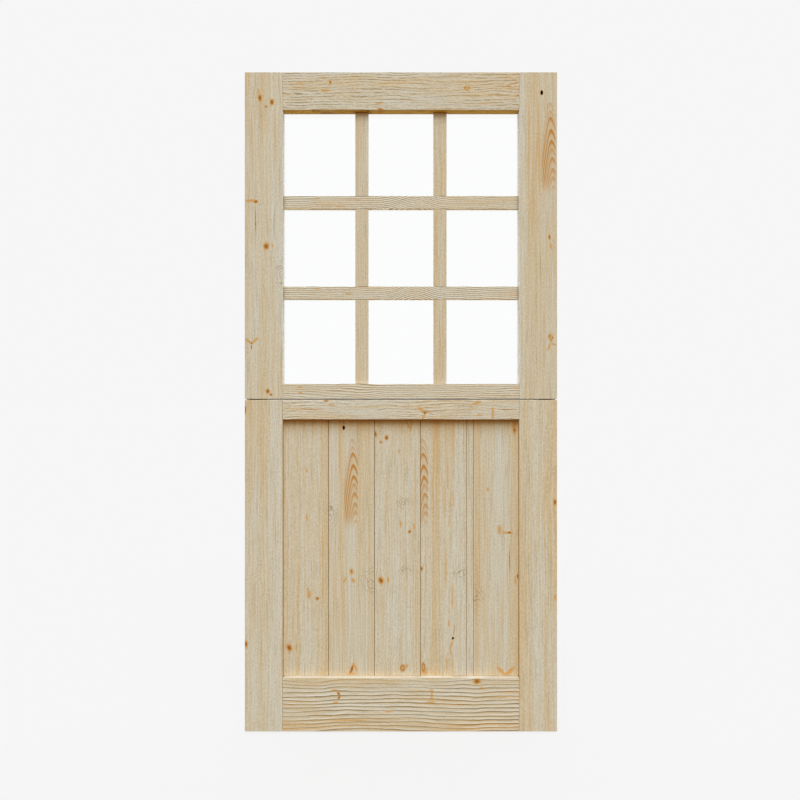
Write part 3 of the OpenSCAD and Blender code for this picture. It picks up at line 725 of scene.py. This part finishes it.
# Every piece of wood, with the marks that its face shows. The numbers of a blot are x, z, half its width
# and half its height in millimetres, and its lean in degrees.
TIMBERS = {
    "upper_hinge_stile": upright(
        edge=PAINTED_HIGHLIGHT,
        marks=(
            Band(-396, -370, -0.08),
            stain(-399, 1899, 3, 80),
            stain(-474, 1908, 3, 80),
            swirl(-374, 1455, 38, 60),
            knot(-447, 2016, 5.4, 10.3, -8),
            resin(-451, 2035, 2.4, 11, -8),
            knot(-409, 2003, 6.3, 8.7),
            pin_knot(-428, 1988, 4.4, 4.4),
            resin(-477, 1690, 19, 4.8),
            knot(-460, 1688, 6.3, 4.8),
            crack(-461, 1623, 1.7, 54),
            knot(-427, 1546, 7.9, 9.5),
            resin(-407, 1548, 2.5, 7.9),
            resin(-484, 1246, 12, 4.4, 38),
            resin(-462, 1248, 13.5, 4.4, -42),
            knot(-474, 1239, 3.2, 3.2),
            crack(-474, 1226, 1.7, 9.5),
            knot(-422, 1086, 5.4, 7),
            knot(-412, 1076, 3.8, 4.4),
        ),
    ),
    "upper_lock_stile": upright(
        edge=PAINTED_HIGHLIGHT,
        warmth=0.02,
        marks=(
            Band(370, 393, -0.12),
            stain(406, 1860, 2.5, 140),
            stain(420, 1880, 2.5, 120),
            stain(436, 1850, 2.5, 130),
            dead_knot(446, 2033, 3.5, 6),
            Flame(471, 2003, 491),
            knot(471, 1575, 3.2, 7),
            resin(475, 1547, 3.2, 11),
            resin(475, 1258, 8, 12),
            crack(470, 1262, 3, 7, 20),
            crack(480, 1256, 3, 6, -20),
            crack(476, 1247, 2, 6),
            resin(469, 1227, 3.2, 12.7, 15),
            resin(484, 1236, 7.9, 3.2, 20),
        ),
    ),
    "upper_top_rail": crossways(
        pitch=9.5,
        lines=0.9,
        ridges=0.2,
        warmth=-0.04,
        marks=(
            knot(-224, 2066, 3.5, 4.4),
            resin(209, 2047, 9, 7),
            crack(203, 2048, 3, 5, 30),
            crack(217, 2048, 2.5, 5, -30),
            crack(210, 2041, 5, 2),
            resin(357, 2050, 22, 1.6, -12),
            resin(340, 2080, 25, 1.6, 4),
            resin(349, 2059, 28.5, 2.5, -20),
            resin(-70, 1999, 10.3, 2.4),
            knot(-66, 1981, 9.5, 2.5),
            resin(-241, 2040, 14.3, 4),
            resin(-250, 2081, 14.3, 1.9),
            resin(-323, 2064, 11, 1.9),
        ),
    ),
    "upper_meeting_rail": crossways(
        pitch=7,
        lines=1.0,
        broken=0.4,
        ridges=1.0,
        warmth=-0.04,
        marks=(resin(-320, 1100, 7.9, 3.5), resin(-318, 1081, 7, 4), resin(365, 1097, 11, 2.4)),
    ),
    "glazing_bar_top": crossways(
        pitch=6.3,
        lines=1.0,
        broken=0.2,
        uneven=1.0,
        relief=0.8,
        ridges=1.0,
        underside=REFLECTED,
        marks=(
            Hump(44, 26, 60),
            resin(-268, 1703, 9.5, 2.2),
            resin(-96, 1667, 11, 2.2),
            resin(-193, 1677, 14.3, 1.9),
        ),
    ),
    "glazing_bar_bottom": crossways(
        pitch=6.3,
        lines=1.0,
        broken=0.2,
        uneven=1.0,
        relief=0.8,
        ridges=1.0,
        underside=REFLECTED,
        marks=(
            Hump(44, 26, 60),
            resin(-268, 1414, 9.5, 2.2),
            resin(-168, 1398, 14.3, 1.9),
            resin(-96, 1379, 9.5, 2.2),
        ),
    ),
    "glazing_bar_left": upright(edge=PAINTED_HIGHLIGHT, under="upper_top_rail", shade=5),
    "glazing_bar_right": upright(edge=PAINTED_HIGHLIGHT, under="upper_top_rail", shade=5),
    "lower_hinge_stile": upright(
        dirt=0.3,
        marks=(
            Band(-472, -454, -0.12),
            Band(-454, -416, 0.05),
            Band(-416, -376, -0.12),
            knot(-494, 1028, 3.5, 13),
            knot(-491, 285, 4.8, 9.5),
        ),
    ),
    "lower_lock_stile": upright(
        dirt=0.3,
        marks=(
            Band(370, 415, 0.06),
            Band(482, 500, 0.1),
            swirl(497, 830, 28, 32),
            knot(488, 735, 4.8, 9.5),
            resin(489, 434, 4, 10),
        ),
    ),
    "lower_meeting_rail": crossways(
        pitch=9,
        lines=0.9,
        ridges=1.0,
        marks=(
            swirl(203, 1033, 45, 22),
            knot(-237, 1056, 7.9, 2.9),
            resin(-222, 1044, 9.5, 3.2),
            crack(-290, 1029, 48, 1.3),
            resin(62, 1030, 11, 4.8, 25),
            knot(76, 1018, 4.8, 4.8),
            resin(72, 1006, 3.8, 9.5, 30),
            resin(92, 1017, 9.5, 1.9, 5),
            resin(239, 1049, 15.8, 3.8, -15),
            resin(247, 1011, 11, 2.5, -15),
            resin(291, 1016, 3.8, 19),
            resin(291, 1032, 7.9, 2.5),
            crack(336, 1029, 38, 1.6),
        ),
    ),
    "lower_bottom_rail": crossways(
        pitch=12,
        lines=1.0,
        ridges=0.65,
        broken=0.2,
        uneven=1.6,
        relief=1.1,
        warmth=0.02,
        marks=(
            Band(0, 50, 0.16),
            resin(-208, 138, 11, 4, 10),
            crack(-198, 129, 4, 9, -35),
            crack(-196, 116, 4, 9, 30),
            resin(-207, 99, 9, 4),
            resin(98, 120, 3.5, 19),
            resin(97, 138, 7.9, 2.9),
            resin(94, 100, 15.8, 3.2),
            knot(241, 167, 10.3, 7.3, -10),
            resin(257, 146, 9.5, 3.2),
            resin(-38, 71, 14.3, 2.5),
            resin(-162, 44, 63, 2.5),
        ),
    ),
    "board_1": board(
        beside="lower_hinge_stile",
        warmth=-0.05,
        marks=(
            Band(-380, -329, 0.03),
            Band(-322, -310, -0.1),
            Band(-257, -230, 0.05),
            resin(-301, 835, 2.4, 7.9),
            resin(-301, 683, 2.5, 10.3),
            streak(-250, 579, 2.5, 87),
            streak(-249, 451, 2.5, 47),
            resin(-297, 453, 3.2, 6.3),
            resin(-294, 437, 6.3, 12.7),
            knot(-267, 424, 4.4, 4.8),
            knot(-357, 267, 7.3, 10.5, -25),
            resin(-335, 268, 2.5, 10.3),
        ),
    ),
    "board_2": board(
        marks=(
            Band(-222, -200, -0.08),
            Band(-135, -92, 0.1),
            stain(-195, 900, 4, 110),
            swirl(-232, 690, 44, 64),
            swirl(-78, 482, 64, 60),
            dead_knot(-183, 970, 3.3, 5.2),
            resin(-183, 985, 2.5, 12.7),
            Flame(-157, 940, -137),
            knot(-158, 511, 2.9, 4.8),
            resin(-158, 510, 7, 11),
            resin(-179, 483, 3.2, 9.5, 20),
            resin(-153, 482, 5.4, 8.7, -20),
            knot(-157, 199, 4, 17, 17),
            resin(-145, 203, 3.2, 14, -20),
            resin(-157, 184, 14.3, 3.2),
        ),
    ),
    "board_3": board(
        marks=(
            Band(-27, -11, -0.08),
            swirl(8, 730, 34, 26),
            swirl(20, 515, 42, 20),
            knot(-82, 950, 4.4, 8.7, -10),
            knot(-46, 938, 5.5, 7.3),
            pin_knot(-64, 924, 4.8, 4.4),
            resin(-6, 895, 2.2, 7.9),
            resin(24, 977, 2.5, 17.4, -20),
            resin(33, 976, 2.5, 17.4, 12),
            stain(45, 771, 2.5, 120),
            knot(28, 638, 4.1, 4.4),
            resin(42, 655, 2.9, 9.5),
            resin(-1, 662, 3.2, 12.7),
            knot(-64, 482, 7.6, 10.3, -20),
            resin(-41, 483, 3.2, 9.5),
            ring_knot(5, 202, 7.3, 10),
            resin(17, 208, 6.3, 6.3),
        ),
    ),
    "board_4": board(
        marks=(
            Band(98, 125, 0.11),
            Band(176, 210, -0.12),
            swirl(205, 505, 54, 26),
            Flame(68, 938, 87),
            stain(144, 900, 4, 90),
            stain(140, 740, 5, 60),
            stain(168, 931, 4.8, 70),
            streak(149, 816, 3.2, 41),
            streak(158, 736, 2.7, 32, 5),
            streak(168, 742, 2.2, 25, -4),
            streak(154, 672, 2.2, 19, 9),
            knot(66, 520, 3.8, 6.3),
            streak(144, 515, 3.2, 68),
            streak(165, 435, 3.5, 36),
            resin(164, 410, 2.5, 14),
            resin(153, 344, 2.9, 9.5),
            crack(170, 323, 1.3, 20, 6),
            dead_knot(166, 297, 2.7, 3),
            resin(162, 277, 3.2, 14, 18),
            resin(160, 253, 2.9, 14, -14),
            streak(165, 210, 2.9, 35, -2),
            streak(147, 215, 4.8, 25),
            ring_knot(72, 205, 5.7, 14),
            resin(75, 192, 9.5, 12.7),
        ),
    ),
    "board_5": board(
        beside="lower_lock_stile",
        marks=(
            Band(230, 252, 0.12),
            swirl(232, 436, 48, 42),
            knot(363, 962, 4.1, 6.7, -10),
            resin(362, 969, 6.3, 19),
            resin(278, 773, 3.2, 7),
            resin(315, 645, 6.3, 14),
            resin(334, 635, 12.7, 3.5),
            knot(347, 635, 6.3, 4.1),
            crack(347, 547, 1.7, 50),
            resin(366, 482, 2.5, 14),
            knot(373, 495, 2, 8),
            resin(321, 192, 18, 6, 46),
            resin(349, 192, 18, 6, -46),
            resin(335, 183, 9, 4),
        ),
    ),
    "filler_strip": board(warmth=-0.18, dirt=0.3),
    "hinge_jamb": upright(
        marks=(
            knot(-476, 1822, 5, 8),
            knot(-469, 1130, 4, 7, 15),
            resin(-474, 640, 3, 60),
            knot(-480, 362, 6, 9),
        ),
    ),
    "lock_jamb": upright(
        marks=(
            knot(470, 1684, 6, 9, -10),
            resin(478, 1300, 3, 80),
            knot(481, 905, 4, 6),
            knot(466, 240, 5, 8),
        ),
    ),
    "head": crossways(
        underside=SUNLIT,
        marks=(knot(-262, 2074, 9, 6), resin(60, 2080, 40, 3), knot(318, 2068, 7, 5)),
    ),
}


def steel():
    """Zinc-plated steel, drawn along z, with a dull bloom."""
    metal = Material("hinge_steel")
    brushed = metal.cloud(cells=(900, 900, 40), detail=3.0)
    bloom = metal.cloud(cells=(60, 60, 60), detail=4.0, roughness=0.6)
    metal.give("Base Color", metal.ramp(bloom, [(0.3, colour(196, 194, 188)), (0.7, colour(168, 166, 162))]))
    metal.give("Metallic", 1.0)
    metal.give("Roughness", metal.add(metal.times(brushed, 0.2), metal.times(bloom, 0.2), 0.18))
    metal.bump(brushed, 0.05 * MM)
    return metal


def rubber():
    """Beige rubber, a little dusty."""
    seal = Material("seal_rubber")
    dust = seal.cloud(cells=(25, 120, 120), detail=4.0, roughness=0.6)
    seal.give("Base Color", seal.ramp(dust, [(0.35, colour(222, 204, 174)), (0.75, colour(238, 224, 200))]))
    seal.give("Roughness", seal.add(seal.times(dust, 0.3), 0.55))
    seal.bump(dust, 0.1 * MM)
    return seal


def glass():
    """Clear float glass with faint smears, which lets the lamps through."""
    pane = Material("pane_glass")
    smear = pane.cloud(cells=(14, 14, 5), detail=4.0, roughness=0.65)
    pane.give("Base Color", (0.99, 1.0, 0.99, 1.0))
    pane.give("Transmission Weight", 1.0)
    pane.give("IOR", 1.45)
    pane.give("Roughness", pane.times(pane.rise(smear, 0.5, 0.8), 0.03))
    path = pane.node("LightPath")
    clear = pane.node("BsdfTransparent")
    either = pane.node("MixShader")
    pane.feed(either.inputs[0], path.outputs["Is Shadow Ray"])
    pane.feed(either.inputs[1], pane.shader.outputs[0])
    pane.feed(either.inputs[2], clear.outputs[0])
    pane.feed(pane.tree.nodes["Material Output"].inputs["Surface"], either.outputs[0])
    return pane


def dress(name, material):
    """Gives a CAD node its one material."""
    mesh = nodes[name].data
    mesh.materials.clear()
    mesh.materials.append(material.made)


for seed, (name, timber) in enumerate(TIMBERS.items(), start=1):
    dress(name, Pine("pine_" + name, seed, timber))
pane_glass = glass()
bead_pine = Pine("pine_beads", len(TIMBERS) + 1, upright())
for number in range(1, PANES + 1):
    dress(f"glass_pane_{number}", pane_glass)
    dress(f"glazing_beads_{number}", bead_pine)
hinge_steel = steel()
for number in range(1, HINGES + 1):
    for part in ("leaf_plate", "frame_plate", "pin"):
        dress(f"hinge_{number}_{part}", hinge_steel)
for name in ("upper_hinge_screws", "lower_hinge_screws", "frame_hinge_screws"):
    dress(name, hinge_steel)
dress("meeting_seal", rubber())


# Light and stage
BACKDROP = colour(246, 246, 246)
BEHIND_GLASS = (0.985, 0.985, 0.985, 1.0)
SKY = (0.66, 0.70, 0.76, 1.0)
HORIZON = (0.72, 0.76, 0.81, 1.0)
BEHIND = (1.30, 1.36, 1.44, 1.0)
GROUND = (0.40, 0.30, 0.16, 1.0)
KEY = (0.93, 0.98, 1.05)
FLOOR = (0.046, 0.043, 0.041, 1.0)
FLOOR_HALF = 40
FLOOR_GLOW = 0.925

# The photograph's camera: where it stands, how far from the face, and the scale that it sees there
VIEW_X, VIEW_Z = -3 * MM, 1058.8 * MM
VIEW_DISTANCE = 1.84
METRES_PER_PIXEL = 3.169 * MM
FRAME_PIXELS = 800
SENSOR_MM = 36


def studio_world():
    """A plain pale backdrop for the eye, and a soft light from above with a warm floor below."""
    world = bpy.data.worlds.new("studio")
    world.use_nodes = True
    graph = Graph(world.node_tree)
    background = world.node_tree.nodes["Background"]
    _, y, z = graph.split("Generated")
    height = graph.add(graph.times(z, 0.5), 0.5)
    light = graph.ramp(height, [(0.36, GROUND), (0.48, HORIZON), (0.75, SKY)])
    light = graph.mix(graph.times(graph.rise(y, 0.0, 0.4), graph.rise(z, -0.2, 0.1)), light, BEHIND)
    path = graph.node("LightPath")
    first = graph.math("LESS_THAN", path.outputs["Diffuse Depth"], 0.5)
    through = graph.times(path.outputs["Is Transmission Ray"], first)
    shown = graph.mix(path.outputs["Is Camera Ray"], light, BACKDROP)
    shown = graph.mix(through, shown, BEHIND_GLASS)
    graph.feed(background.inputs["Color"], shown)
    bpy.context.scene.world = world


def sun(name, azimuth, elevation, strength, softness, tint):
    """A soft lamp from a side and a height, in degrees. Azimuth 0 is the front of the door."""
    lamp = bpy.data.lights.new(name, "SUN")
    lamp.energy = strength
    lamp.color = tint
    lamp.angle = math.radians(softness)
    holder = bpy.data.objects.new(name, lamp)
    holder.rotation_euler = (math.radians(90 - elevation), 0, math.radians(azimuth))
    bpy.context.scene.collection.objects.link(holder)


def floor():
    """A pale floor that glows like the backdrop and takes a faint shadow."""
    mesh = bpy.data.meshes.new("floor")
    half = FLOOR_HALF
    corners = [(-half, -half, 0), (half, -half, 0), (half, half, 0), (-half, half, 0)]
    mesh.from_pydata(corners, [], [(0, 1, 2, 3)])
    plane = bpy.data.objects.new("floor", mesh)
    paper = Material("floor_paper")
    paper.give("Base Color", FLOOR)
    paper.give("Roughness", 1.0)
    paper.give("Specular IOR Level", 0.0)
    paper.give("Emission Color", BACKDROP)
    paper.give("Emission Strength", FLOOR_GLOW)
    mesh.materials.append(paper.made)
    bpy.context.scene.collection.objects.link(plane)
    plane.visible_diffuse = False


def camera():
    """The photograph's view: square on, a little left of the middle and just above half height."""
    lens = bpy.data.cameras.new("camera")
    lens.sensor_width = SENSOR_MM
    lens.lens = VIEW_DISTANCE / METRES_PER_PIXEL / FRAME_PIXELS * SENSOR_MM
    viewer = bpy.data.objects.new("camera", lens)
    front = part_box("lower_lock_stile")[0].y
    viewer.location = (VIEW_X, front - VIEW_DISTANCE, VIEW_Z)
    viewer.rotation_euler = (math.radians(90), 0, 0)
    bpy.context.scene.collection.objects.link(viewer)
    bpy.context.scene.camera = viewer


studio_world()
sun("key", azimuth=0, elevation=58, strength=2.5, softness=45, tint=KEY)
floor()
camera()
bpy.context.scene.view_settings.view_transform = "Standard"
